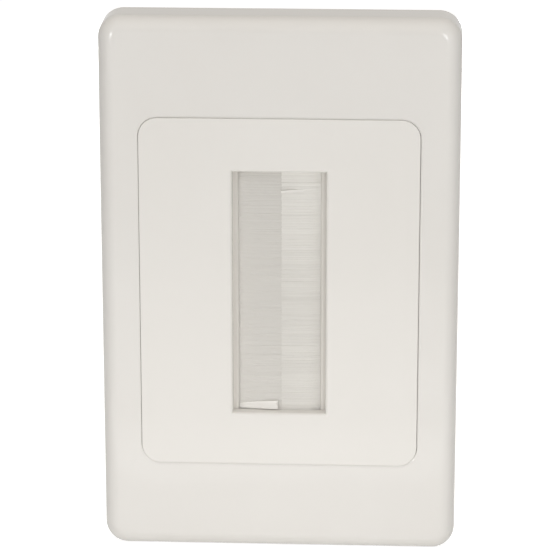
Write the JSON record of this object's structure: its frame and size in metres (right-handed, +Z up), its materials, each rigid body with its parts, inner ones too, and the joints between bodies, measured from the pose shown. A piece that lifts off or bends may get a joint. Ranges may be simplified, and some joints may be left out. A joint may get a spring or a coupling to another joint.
{
  "type": "brush cable entry wall plate",
  "caption": "Upright wall plate with a rounded clip-on cover and a central slot closed by facing brush strips, which let cables pass through a wall.",
  "frame": {"origin": "midway between the two wall fixing holes, on the wall plane", "axes": "+X to the right seen from the front, +Y into the wall, +Z up"},
  "size_m": [0.076, 0.0105, 0.117],
  "materials": {
    "cover_plastic": "smooth warm white moulded plastic",
    "panel_plastic": "smooth warm white moulded plastic",
    "holder_plastic": "extruded off-white plastic",
    "bristle_nylon": "white nylon bristles, combed straight",
    "clamp_plastic": "plain off-white moulded plastic",
    "screw_steel": "bright zinc plating"
  },
  "bodies": {
    "root": {"cover": "cover_plastic", "base_plate": "panel_plastic", "left_brush_holder": "holder_plastic", "right_brush_holder": "holder_plastic", "left_bristles": "bristle_nylon", "right_bristles": "bristle_nylon", "clamp_frame": "clamp_plastic", "clamp_screws": "screw_steel"}
  },
  "joints": []
}
